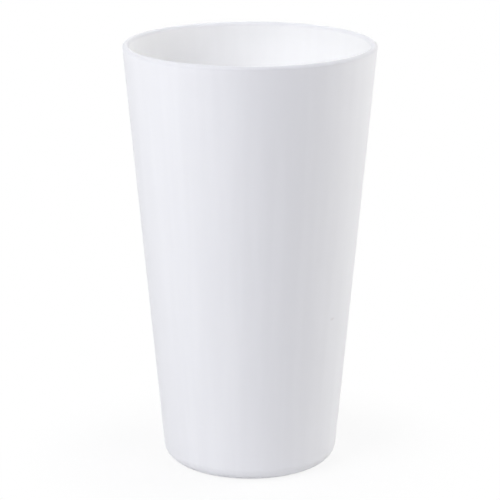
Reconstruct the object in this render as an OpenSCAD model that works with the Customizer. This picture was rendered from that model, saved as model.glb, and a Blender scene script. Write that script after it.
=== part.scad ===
// Reusable drinking cup, moulded in one piece of white polypropylene.
// It is a tapered beaker with a straight side, a fully rounded lip and a
// rounded corner that runs into a flat foot ring. The axis is Z, the foot ring
// stands on Z = 0, and every size is in millimetres.

/* [Outside] */
// Height from the table to the top of the lip
height = 136; // [110:1:170]
// Diameter of the straight side, taken up to the level of the lip's top
mouth_d = 80; // [74:0.5:96]
// Diameter of the straight side, taken down to the table
base_d = 55; // [48:0.5:68]
// Radius of the corner between the side and the foot
corner_r = 5; // [3:0.1:8]

/* [Wall] */
// Thickness of the side wall, which the lip rounds over
wall_t = 2; // [1.2:0.1:2.8]
// Thickness of the floor, from the recess under it to the drink
floor_t = 2; // [1.4:0.1:3.5]
// Radius of the corner inside, between the side and the floor
inside_corner_r = 3.5; // [2:0.1:7]

/* [Foot and underside] */
// Width of the flat ring that touches the table
foot_w = 2.5; // [1.5:0.1:5]
// Depth of the recess inside the foot ring
recess_h = 1; // [0.9:0.1:2]
// Width of the sloping edge between the foot ring and the recess
slope_w = 0.8; // [0.3:0.1:2]

/* [Moulding gate] */
// Diameter of the raised disc where the plastic entered the mould
gate_d = 6; // [4:0.5:12]
// Height of that disc, which stays inside the recess
gate_h = 0.25; // [0.1:0.05:0.4]
// Diameter of the pip left where the sprue broke off
pip_d = 1.6; // [1:0.1:3]
// Height of the pip above its disc
pip_h = 0.35; // [0.1:0.05:0.4]

/* [Hidden] */
$fn = 128;

// Angle of the side from upright
taper = atan((mouth_d - base_d) / 2 / height);
// Direction that points squarely out of the side
outward = [cos(taper), -sin(taper)];
// A straight edge runs this far inside the circle that it leads into, so that
// the two cross where they join and leave no sliver between them
tuck = 0.001;
// Length by which a cut runs on into the open
overrun = 1;

// Radius of the side's outer and inner faces at a height
function outer_x(z) = base_d / 2 + z * tan(taper);
function inner_x(z) = outer_x(z) - wall_t / cos(taper);

// Distance from the axis to the centre of a circle that touches a face from
// the axis side, where face_x is the face's radius at the centre's height
function touching(face_x, r) = face_x - r / cos(taper);

lip_r = wall_t / 2;
lip_z = height - lip_r;
lip = [touching(outer_x(lip_z), lip_r), lip_z];

corner = [touching(outer_x(corner_r), corner_r), corner_r];

floor_z = recess_h + floor_t;
inside_corner_z = floor_z + inside_corner_r;
inside_corner = [touching(inner_x(inside_corner_z), inside_corner_r), inside_corner_z];

// The flat of the foot lies between the corner and this radius
foot_inner_r = corner.x - foot_w;
recess_r = foot_inner_r - slope_w;

// The outer form as a filled half section, up to the middle of the lip
module outer_half() {
    polygon([
        [0, 0],
        [corner.x, 0],
        corner + (corner_r - tuck) * outward,
        lip + (lip_r - tuck) * outward,
        lip - wall_t * outward,
        [0, lip.y]
    ]);
    translate(corner) circle(corner_r);
}

// The space for the drink, from the floor up through the mouth
module drink_half() {
    polygon([
        [0, floor_z],
        [inside_corner.x, floor_z],
        inside_corner + (inside_corner_r - tuck) * outward,
        [inner_x(height) + tuck, height],
        [inner_x(height) + tuck, height + overrun],
        [0, height + overrun]
    ]);
    translate(inside_corner) circle(inside_corner_r);
}

// The shallow recess inside the foot ring, with its sloping edge
module recess_half() {
    polygon([
        [0, -overrun],
        [foot_inner_r, -overrun],
        [foot_inner_r, 0],
        [recess_r, recess_h],
        [0, recess_h]
    ]);
}

// The gate's disc and pip, which hang in the recess clear of the table
module gate_half() {
    disc_z = recess_h - gate_h;
    pip_z = disc_z - pip_h;
    translate([0, disc_z]) square([gate_d / 2, floor_z - disc_z]);
    translate([0, pip_z]) square([pip_d / 2, floor_z - pip_z]);
}

// The whole cup is one moulding
module cup() {
    color("white") rotate_extrude() {
        difference() {
            outer_half();
            drink_half();
            recess_half();
        }
        translate(lip) circle(lip_r);
        gate_half();
    }
}

cup();
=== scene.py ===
import math

import bmesh
import bpy
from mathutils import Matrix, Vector


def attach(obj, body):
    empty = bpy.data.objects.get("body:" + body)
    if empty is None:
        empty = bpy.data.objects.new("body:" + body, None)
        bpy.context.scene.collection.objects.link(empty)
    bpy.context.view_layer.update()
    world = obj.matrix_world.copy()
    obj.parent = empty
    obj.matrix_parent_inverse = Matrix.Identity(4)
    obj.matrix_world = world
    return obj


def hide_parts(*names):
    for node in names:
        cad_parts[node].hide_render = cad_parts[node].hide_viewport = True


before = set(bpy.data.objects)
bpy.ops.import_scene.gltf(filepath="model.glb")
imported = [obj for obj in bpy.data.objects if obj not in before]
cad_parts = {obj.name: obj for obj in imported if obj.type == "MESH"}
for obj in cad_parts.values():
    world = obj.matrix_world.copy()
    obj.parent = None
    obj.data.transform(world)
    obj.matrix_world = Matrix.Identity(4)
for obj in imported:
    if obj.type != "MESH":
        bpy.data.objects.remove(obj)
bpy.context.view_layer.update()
print("frame loaded")


def feed(tree, socket, value):
    # links a socket to this one, or sets it to a plain value
    if isinstance(value, bpy.types.NodeSocket):
        tree.links.new(value, socket)
    else:
        socket.default_value = value


def calc(tree, operation, *values):
    node = tree.nodes.new("ShaderNodeMath")
    node.operation = operation
    for socket, value in zip(node.inputs, values):
        feed(tree, socket, value)
    return node.outputs[0]


def distance(tree, first, second):
    node = tree.nodes.new("ShaderNodeVectorMath")
    node.operation = "DISTANCE"
    feed(tree, node.inputs[0], first)
    feed(tree, node.inputs[1], second)
    return node.outputs["Value"]


def splitVector(tree, vector):
    node = tree.nodes.new("ShaderNodeSeparateXYZ")
    tree.links.new(vector, node.inputs[0])
    return node.outputs["X"], node.outputs["Y"], node.outputs["Z"]


def joinVector(tree, x, y, z=0.0):
    node = tree.nodes.new("ShaderNodeCombineXYZ")
    for socket, value in zip(node.inputs, (x, y, z)):
        feed(tree, socket, value)
    return node.outputs[0]


def addObject(name, data):
    thing = bpy.data.objects.new(name, data)
    bpy.context.scene.collection.objects.link(thing)
    return thing


# Sizes of the cup, in metres. The foot, lip and corners follow from them.
cupSizes = {
    "Height": 0.135998,
    "Mouth Diameter": 0.07996,          # of the straight side, at the lip's level
    "Base Diameter": 0.055,             # of the straight side, at the table
    "Corner Radius": 0.005,
    "Wall": 0.002,
    "Floor": 0.002,
    "Inside Corner Radius": 0.0035,
    "Foot Width": 0.0025,
    "Recess Depth": 0.001,
    "Slope Width": 0.0008,              # from the foot up to the recess
    "Edge Radius": 0.00025,             # softens the foot's own edges
    "Gate Diameter": 0.006,
    "Gate Height": 0.00025,
    "Pip Diameter": 0.0016,             # what is left where the gate was cut
    "Pip Height": 0.00035,
    "Gate Edge Radius": 0.00008,
}
cupMesh = {
    "Segments": 256,                    # around the axis
    "Arc Steps": 12,                    # most points along a rounded corner
    "Arc Span": 0.0001,                 # a tight corner gets two points and one for each of these
    "Span": 0.002,                      # longest step along the straights
    "Weld Distance": 1e-6,              # closes the two poles
}


def switchByIndex(tree, dataType, values):
    # gives the first point values[0], the next values[1] and so on
    node = tree.nodes.new("GeometryNodeIndexSwitch")
    node.data_type = dataType
    while len(node.index_switch_items) < len(values):
        node.index_switch_items.new()
    tree.links.new(tree.nodes.new("GeometryNodeInputIndex").outputs[0], node.inputs["Index"])
    for number, value in enumerate(values):
        feed(tree, node.inputs[number + 1], value)
    return node.outputs[0]


def cupTree():
    tree = bpy.data.node_groups.new("cupRevolve", "GeometryNodeTree")
    face = tree.interface
    face.new_socket(name="Geometry", in_out="OUTPUT", socket_type="NodeSocketGeometry")
    for name, value in {**cupSizes, **cupMesh}.items():
        if isinstance(value, int):
            socket = face.new_socket(name=name, in_out="INPUT", socket_type="NodeSocketInt")
        else:
            socket = face.new_socket(name=name, in_out="INPUT", socket_type="NodeSocketFloat")
            socket.subtype = "DISTANCE"
        socket.default_value = value
    face.new_socket(name="Material", in_out="INPUT", socket_type="NodeSocketMaterial")

    sizes = tree.nodes.new("NodeGroupInput").outputs
    add = lambda a, b: calc(tree, "ADD", a, b)
    minus = lambda a, b: calc(tree, "SUBTRACT", a, b)
    times = lambda a, b: calc(tree, "MULTIPLY", a, b)

    height = sizes["Height"]
    baseR = times(sizes["Base Diameter"], 0.5)
    mouthR = times(sizes["Mouth Diameter"], 0.5)
    lean = calc(tree, "DIVIDE", minus(mouthR, baseR), height)
    slant = calc(tree, "SQRT", add(times(lean, lean), 1.0))
    wallAcross = times(sizes["Wall"], slant)
    lipR = times(sizes["Wall"], 0.5)
    floorZ = add(sizes["Recess Depth"], sizes["Floor"])
    insideR = minus(add(baseR, times(floorZ, lean)), wallAcross)
    footOuterR = minus(baseR, times(sizes["Corner Radius"], minus(slant, lean)))
    footInnerR = minus(footOuterR, sizes["Foot Width"])
    recessR = minus(footInnerR, sizes["Slope Width"])
    gateR = times(sizes["Gate Diameter"], 0.5)
    pipR = times(sizes["Pip Diameter"], 0.5)
    gateZ = minus(sizes["Recess Depth"], sizes["Gate Height"])
    pipZ = minus(gateZ, sizes["Pip Height"])
    edgeR = sizes["Edge Radius"]
    gateEdgeR = sizes["Gate Edge Radius"]

    # corners of the section from the axis under the cup, round the outside
    # and back to the axis over the floor: distance out, height, rounding
    corners = [
        (0.0, pipZ, 0.0),
        (pipR, pipZ, gateEdgeR),
        (pipR, gateZ, gateEdgeR),
        (gateR, gateZ, gateEdgeR),
        (gateR, sizes["Recess Depth"], gateEdgeR),
        (recessR, sizes["Recess Depth"], edgeR),
        (footInnerR, 0.0, edgeR),
        (baseR, 0.0, sizes["Corner Radius"]),
        (mouthR, height, lipR),
        (minus(mouthR, wallAcross), height, lipR),
        (insideR, floorZ, sizes["Inside Corner Radius"]),
        (0.0, floorZ, 0.0),
    ]
    places = [joinVector(tree, outR, z) for outR, z, rounding in corners]
    roundings = [rounding for outR, z, rounding in corners]

    points = tree.nodes.new("GeometryNodePoints")
    points.inputs["Count"].default_value = len(corners)
    tree.links.new(switchByIndex(tree, "VECTOR", places), points.inputs["Position"])
    section = tree.nodes.new("GeometryNodePointsToCurves")
    tree.links.new(points.outputs[0], section.inputs["Points"])

    fillet = tree.nodes.new("GeometryNodeFilletCurve")
    fillet.mode = "POLY"
    radius = switchByIndex(tree, "FLOAT", roundings)
    steps = add(calc(tree, "DIVIDE", radius, sizes["Arc Span"]), 2.0)
    tree.links.new(section.outputs[0], fillet.inputs["Curve"])
    tree.links.new(calc(tree, "MINIMUM", steps, sizes["Arc Steps"]), fillet.inputs["Count"])
    tree.links.new(radius, fillet.inputs["Radius"])

    # cut each straight into even spans
    place = tree.nodes.new("GeometryNodeInputPosition").outputs[0]
    index = tree.nodes.new("GeometryNodeInputIndex").outputs[0]
    nextPlace = tree.nodes.new("GeometryNodeFieldAtIndex")
    nextPlace.data_type = "FLOAT_VECTOR"
    tree.links.new(add(index, 1), nextPlace.inputs["Index"])
    tree.links.new(place, nextPlace.inputs["Value"])
    gap = distance(tree, place, nextPlace.outputs[0])
    cut = tree.nodes.new("GeometryNodeSubdivideCurve")
    tree.links.new(fillet.outputs[0], cut.inputs["Curve"])
    tree.links.new(calc(tree, "FLOOR", calc(tree, "DIVIDE", gap, sizes["Span"])),
                   cut.inputs["Cuts"])

    # a sweep hangs its section upside down and centred on the ring it follows
    outR, z = splitVector(tree, place)[:2]
    midR = times(add(baseR, mouthR), 0.5)
    hung = tree.nodes.new("GeometryNodeSetPosition")
    tree.links.new(cut.outputs[0], hung.inputs["Geometry"])
    tree.links.new(joinVector(tree, minus(outR, midR), times(z, -1.0)), hung.inputs["Position"])
    ring = tree.nodes.new("GeometryNodeCurvePrimitiveCircle")
    ring.mode = "RADIUS"
    tree.links.new(sizes["Segments"], ring.inputs["Resolution"])
    tree.links.new(midR, ring.inputs["Radius"])
    sweep = tree.nodes.new("GeometryNodeCurveToMesh")
    tree.links.new(ring.outputs[0], sweep.inputs["Curve"])
    tree.links.new(hung.outputs[0], sweep.inputs["Profile Curve"])
    weld = tree.nodes.new("GeometryNodeMergeByDistance")
    tree.links.new(sweep.outputs[0], weld.inputs["Geometry"])
    tree.links.new(sizes["Weld Distance"], weld.inputs["Distance"])

    outward = tree.nodes.new("GeometryNodeFlipFaces")       # the sweep leaves them facing in
    tree.links.new(weld.outputs[0], outward.inputs["Mesh"])
    smooth = tree.nodes.new("GeometryNodeSetShadeSmooth")
    tree.links.new(outward.outputs[0], smooth.inputs["Geometry"])

    real = tree.nodes.new("GeometryNodeRealizeInstances")
    tree.links.new(smooth.outputs[0], real.inputs[0])
    paint = tree.nodes.new("GeometryNodeSetMaterial")
    tree.links.new(real.outputs[0], paint.inputs["Geometry"])
    tree.links.new(sizes["Material"], paint.inputs["Material"])
    out = tree.nodes.new("NodeGroupOutput")
    tree.links.new(paint.outputs[0], out.inputs[0])
    return tree


def makeCup(material):
    cup = addObject("mouldedCup", bpy.data.meshes.new("mouldedCup"))
    tree = cupTree()
    revolve = cup.modifiers.new("revolve", "NODES")
    revolve.node_group = tree
    sockets = {item.name: item.identifier for item in tree.interface.items_tree
               if item.in_out == "INPUT"}
    for name, value in {**cupSizes, **cupMesh, "Material": material}.items():
        revolve[sockets[name]] = value
    even = cup.modifiers.new("even", "WEIGHTED_NORMAL")     # keeps the straights flat in shade
    even.mode = "FACE_AREA"
    even.weight = 100

    shaped = cup.evaluated_get(bpy.context.evaluated_depsgraph_get())
    mesh = bpy.data.meshes.new_from_object(shaped)
    cup.modifiers.clear()
    cup.data = mesh
    work = bmesh.new()
    work.from_mesh(mesh)
    print("open edges", sum(len(edge.link_faces) != 2 for edge in work.edges),
          "volume", work.calc_volume(signed=True) * 1e6, "cm3")
    work.free()
    return cup


# The plastic: lengths in metres, so that the marks keep their real scale
plastic = {
    "colour": (0.88, 0.88, 0.90, 1),            # of the outside
    "paintedLightInside": (0.985, 0.985, 0.99, 1),     # of the inside: painted light, whiter than the outside
    "insideFrom": (0.002, 0.003),               # heights where the inside starts, in the floor
    "insideBlend": 0.0005,                      # half the width of the change, in the lip
    "lipPaintedShade": ((0.785, 0.785, 0.805, 1),    # painted shade on the lip's outer half
                   (0.808, 0.808, 0.828, 1)),   # and on its inner half
    "lipShadeDepths": (0.0015, 0.0003),                # depths where the lip's painted shade starts and is full
    "streakShade": 0.985,                       # brightness of the streaks that the melt left
    "streakRange": (0.4, 0.65),                 # noise values that a streak fades between
    "roughness": (0.48, 0.58),                  # least and most
    "dulling": 0.15,                            # more roughness at the gate and on the foot
    "ior": 1.49,
    "sheen": 0.25,                              # gloss, where 0.5 is all that the ior gives
    "milk": 0.0005,                             # how far light creeps under the surface
    "streaks": 9.0,                             # about six times this many go round the side
    "streakLength": 0.06,
    "streakHeight": 0.000003,
    "fineLines": 70.0,                          # the same, for the finer lines
    "fineLength": 0.03,
    "fineHeight": 0.0000008,
    "startRadius": 0.004,                       # the streaks spread from here
    "waves": (0.018, 0.00002),                  # width and height of the wall's unevenness
    "peel": (0.002, 0.0000016),
    "grain": (0.0004, 0.0000012),
    "speckPlace": (0.0257, -0.0192, 0.0517),
    "speckSize": (0.0015, 0.0007),              # half its width and height
    "speckFade": (0.3, 1.0),                    # shares of that size where it fades and ends
    "speckColour": (0.81, 0.8, 0.81, 1),
    "gateBlush": (0.002, 0.005),                # the dull ring round the gate fades between these
    "rubHeight": 0.00025,                       # the foot is rubbed dull below this
}


def mixColours(tree, factor, first, second):
    node = tree.nodes.new("ShaderNodeMix")
    node.data_type = "RGBA"
    tree.links.new(factor, node.inputs["Factor"])
    feed(tree, node.inputs["A"], first)
    feed(tree, node.inputs["B"], second)
    return node.outputs["Result"]


def ramp(tree, value, start, end):
    # rises smoothly from 0 at start to 1 at end
    node = tree.nodes.new("ShaderNodeMapRange")
    node.interpolation_type = "SMOOTHSTEP"
    node.inputs["From Min"].default_value = start
    node.inputs["From Max"].default_value = end
    tree.links.new(value, node.inputs["Value"])
    return node.outputs["Result"]


def mottle(tree, vector, scale, detail=2.0):
    node = tree.nodes.new("ShaderNodeTexNoise")
    node.inputs["Scale"].default_value = scale
    node.inputs["Detail"].default_value = detail
    tree.links.new(vector, node.inputs["Vector"])
    return node.outputs["Fac"]


def shadeColour(tree, colour, amount):
    # darkens a colour by a value that changes over the surface
    node = tree.nodes.new("ShaderNodeVectorMath")
    node.operation = "SCALE"
    tree.links.new(colour, node.inputs[0])
    tree.links.new(amount, node.inputs["Scale"])
    return node.outputs["Vector"]


def outFromAxis(tree, place):
    x, y = splitVector(tree, place)[:2]
    return calc(tree, "SQRT", calc(tree, "ADD", calc(tree, "MULTIPLY", x, x),
                                   calc(tree, "MULTIPLY", y, y)))


def flowLines(tree, place, count, length):
    # noise drawn out along the way the melt ran: out from the gate, then up the side
    x, y, z = splitVector(tree, place)
    out = outFromAxis(tree, place)
    start = calc(tree, "MAXIMUM", out, plastic["startRadius"])
    spread = calc(tree, "DIVIDE", count, start)
    run = calc(tree, "DIVIDE", calc(tree, "ADD", out, z), length)
    along = joinVector(tree, calc(tree, "MULTIPLY", x, spread),
                       calc(tree, "MULTIPLY", y, spread), run)
    return mottle(tree, along, 1.0, detail=3.0)


def ovalFrom(tree, place, centre, halfSize):
    # 0 at the centre and 1 at the edge of an oval of this half width and height
    wide, high = halfSize
    shrink = (1 / wide, 1 / wide, 1 / high)
    scaled = tree.nodes.new("ShaderNodeVectorMath")
    scaled.operation = "MULTIPLY"
    scaled.inputs[1].default_value = shrink
    tree.links.new(place, scaled.inputs[0])
    return distance(tree, scaled.outputs[0], [c * k for c, k in zip(centre, shrink)])


def whitePlastic():
    material = bpy.data.materials.new("whitePlastic")
    material.use_nodes = True
    tree = material.node_tree
    shader = tree.nodes["Principled BSDF"]
    place = tree.nodes.new("ShaderNodeTexCoord").outputs["Object"]
    height = splitVector(tree, place)[2]
    streaks = flowLines(tree, place, plastic["streaks"], plastic["streakLength"])
    fineLines = flowLines(tree, place, plastic["fineLines"], plastic["fineLength"])
    waves = mottle(tree, place, 1 / plastic["waves"][0], detail=1.0)
    peel = mottle(tree, place, 1 / plastic["peel"][0])
    grain = mottle(tree, place, 1 / plastic["grain"][0])

    # colour: painted light makes the inner side of the wall's middle whiter than the outside,
    # painted shade makes the lip greyer, with faint streaks and one speck in the side
    lean = (cupSizes["Mouth Diameter"] - cupSizes["Base Diameter"]) / 2 / cupSizes["Height"]
    middle = calc(tree, "MULTIPLY_ADD", height, lean,
                  (cupSizes["Base Diameter"] - cupSizes["Wall"]) / 2)
    depth = calc(tree, "SUBTRACT", middle, outFromAxis(tree, place))
    blend = plastic["insideBlend"]
    within = calc(tree, "MULTIPLY", ramp(tree, depth, -blend, blend),
                  ramp(tree, height, *plastic["insideFrom"]))
    lipShadeMask = ramp(tree, height, *[cupSizes["Height"] - down for down in plastic["lipShadeDepths"]])
    # painted light makes the inside whiter than the outside
    base = mixColours(tree, within, plastic["colour"], plastic["paintedLightInside"])
    # painted shade makes the lip darker, its outer half most
    base = mixColours(tree, lipShadeMask, base, mixColours(tree, within, *plastic["lipPaintedShade"]))
    shade = calc(tree, "MULTIPLY_ADD", ramp(tree, streaks, *plastic["streakRange"]),
                 1 - plastic["streakShade"], plastic["streakShade"])
    base = shadeColour(tree, base, shade)
    speck = ovalFrom(tree, place, plastic["speckPlace"], plastic["speckSize"])
    clean = ramp(tree, speck, *plastic["speckFade"])
    tree.links.new(mixColours(tree, clean, plastic["speckColour"], base),
                   shader.inputs["Base Color"])

    # roughness: streaks and grain, duller at the gate and where the foot rubs
    least, most = plastic["roughness"]
    share = calc(tree, "MULTIPLY", calc(tree, "ADD", streaks, grain), 0.5)
    rough = calc(tree, "MULTIPLY_ADD", share, most - least, least)
    fromGate = ramp(tree, distance(tree, place, (0, 0, 0)), *plastic["gateBlush"])
    aboveRub = ramp(tree, height, 0.0, plastic["rubHeight"])
    dull = calc(tree, "SUBTRACT", 1.0, calc(tree, "MINIMUM", fromGate, aboveRub))
    tree.links.new(calc(tree, "MULTIPLY_ADD", dull, plastic["dulling"], rough),
                   shader.inputs["Roughness"])

    # relief, added up in metres
    relief = 0.0
    for pattern, rise in ((waves, plastic["waves"][1]), (peel, plastic["peel"][1]),
                          (grain, plastic["grain"][1]), (streaks, plastic["streakHeight"]),
                          (fineLines, plastic["fineHeight"])):
        relief = calc(tree, "MULTIPLY_ADD", pattern, rise, relief)
    bump = tree.nodes.new("ShaderNodeBump")
    bump.inputs["Distance"].default_value = 1.0
    tree.links.new(relief, bump.inputs["Height"])
    tree.links.new(bump.outputs[0], shader.inputs["Normal"])

    shader.inputs["IOR"].default_value = plastic["ior"]
    shader.inputs["Specular IOR Level"].default_value = plastic["sheen"]
    shader.inputs["Subsurface Weight"].default_value = 1.0
    shader.inputs["Subsurface Radius"].default_value = (1.0, 1.0, 1.0)
    shader.inputs["Subsurface Scale"].default_value = plastic["milk"]
    return material


cup = makeCup(whitePlastic())
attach(cup, "root")
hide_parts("cup")
print("cup made,", len(cup.data.polygons), "faces")


# The camera stands where the photograph was taken from
viewFrom = {
    "target": (0, 0, 0.06886),
    "reach": 0.750,
    "elevation": 15.43,
    "lens": 168.69,                     # mm
    "sensor": 36,                       # mm across
}


def standAt(thing, azimuth, elevation, reach):
    # stands it this far off and points it at the target; azimuth 0 is the camera's
    # and 90 is on its right, in degrees
    turn, rise = math.radians(azimuth), math.radians(elevation)
    away = Vector((math.sin(turn) * math.cos(rise), -math.cos(turn) * math.cos(rise),
                   math.sin(rise)))
    thing.location = Vector(viewFrom["target"]) + away * reach
    thing.rotation_euler = (-away).to_track_quat("-Z", "Y").to_euler()


def addCamera():
    data = bpy.data.cameras.new("camera")
    data.lens = viewFrom["lens"]
    data.sensor_width = viewFrom["sensor"]
    data.clip_start = 0.01
    camera = addObject("camera", data)
    standAt(camera, 0, viewFrom["elevation"], viewFrom["reach"])
    bpy.context.scene.camera = camera


# Soft boxes round the cup: angles in degrees, reach and size in metres, power in watts
studio = {
    "keyLeft": {"azimuth": -45, "elevation": 32, "reach": 1.2, "size": 0.6, "power": 8.8,
                "colour": (0.955, 0.965, 1.0)},
    "frontRight": {"azimuth": 45, "elevation": 32, "reach": 1.2, "size": 0.6, "power": 2.7,
                   "colour": (0.93, 0.92, 1.0)},
    "nearLeft": {"azimuth": -75, "elevation": 45, "reach": 0.5, "size": 0.3, "power": 0.66,
                 "colour": (0.98, 0.985, 1.0)},
    "nearRight": {"azimuth": 75, "elevation": 45, "reach": 0.5, "size": 0.3, "power": 0.27,
                  "colour": (0.95, 0.95, 1.0)},
    "lowRight": {"azimuth": 100, "elevation": 20, "reach": 0.5, "size": 0.3, "power": 0.93,
                 "colour": (1.0, 0.995, 0.94)},
    "backRight": {"azimuth": 110, "elevation": 45, "reach": 0.5, "size": 0.3, "power": 0.21,
                  "colour": (0.985, 1.0, 1.0)},
    "back": {"azimuth": 180, "elevation": 45, "reach": 0.5, "size": 0.3, "power": 0.71,
             "colour": (0.97, 0.97, 1.0)},
    # a narrow beam straight down the mouth, clear of the lip
    "overhead": {"azimuth": 0, "elevation": 90, "reach": 1.1, "size": 0.03, "power": 0.0008,
                 "colour": (1.0, 1.0, 1.0), "spread": 3},
}
widestSpread = 180


def addLamps():
    for name, lamp in studio.items():
        data = bpy.data.lights.new(name, "AREA")
        data.shape = "SQUARE"
        data.size = lamp["size"]
        data.spread = math.radians(lamp.get("spread", widestSpread))
        data.energy = lamp["power"]
        data.color = lamp["colour"]
        standAt(addObject(name, data), lamp["azimuth"], lamp["elevation"], lamp["reach"])


def seenRays(tree):
    # 1 for rays that see a colour: from the camera, in a gloss or through glass
    path = tree.nodes.new("ShaderNodeLightPath").outputs
    gloss = calc(tree, "MAXIMUM", path["Is Glossy Ray"], path["Is Transmission Ray"])
    return calc(tree, "MAXIMUM", path["Is Camera Ray"], gloss)


def addWorld():
    # plain white to the rays that see it, and no light on the cup
    world = bpy.data.worlds.new("studio")
    world.use_nodes = True
    tree = world.node_tree
    back = tree.nodes["Background"]
    back.inputs["Color"].default_value = (1, 1, 1, 1)
    tree.links.new(seenRays(tree), back.inputs["Strength"])
    bpy.context.scene.world = world


floorLook = {
    "size": 8.0,
    "colour": (0.9, 0.9, 0.9, 1),
    "glow": (0.85, 1.0),                # share of plain white that is seen, near and far
    "glowReach": (0.03, 0.08),          # how near and how far
}


def addFloor():
    mesh = bpy.data.meshes.new("floor")
    half = floorLook["size"] / 2
    mesh.from_pydata([(-half, -half, 0), (half, -half, 0), (half, half, 0), (-half, half, 0)],
                     [], [(0, 1, 2, 3)])
    floor = addObject("floor", mesh)
    material = bpy.data.materials.new("paleFloor")
    material.use_nodes = True
    tree = material.node_tree
    tree.nodes.remove(tree.nodes["Principled BSDF"])
    lit = tree.nodes.new("ShaderNodeBsdfDiffuse")
    lit.inputs["Color"].default_value = floorLook["colour"]
    seen = tree.nodes.new("ShaderNodeEmission")
    seen.inputs["Strength"].default_value = 1
    mix = tree.nodes.new("ShaderNodeMixShader")
    place = tree.nodes.new("ShaderNodeTexCoord").outputs["Object"]
    away = ramp(tree, outFromAxis(tree, place), *floorLook["glowReach"])
    near, far = floorLook["glow"]
    glow = calc(tree, "MULTIPLY_ADD", away, far - near, near)
    tree.links.new(calc(tree, "MULTIPLY", seenRays(tree), glow), mix.inputs[0])
    tree.links.new(lit.outputs[0], mix.inputs[1])
    tree.links.new(seen.outputs[0], mix.inputs[2])
    tree.links.new(mix.outputs[0], tree.nodes["Material Output"].inputs["Surface"])
    mesh.materials.append(material)


addCamera()
addLamps()
addWorld()
addFloor()
bpy.context.scene.view_settings.view_transform = "Standard"
print("camera, lamps and floor made")
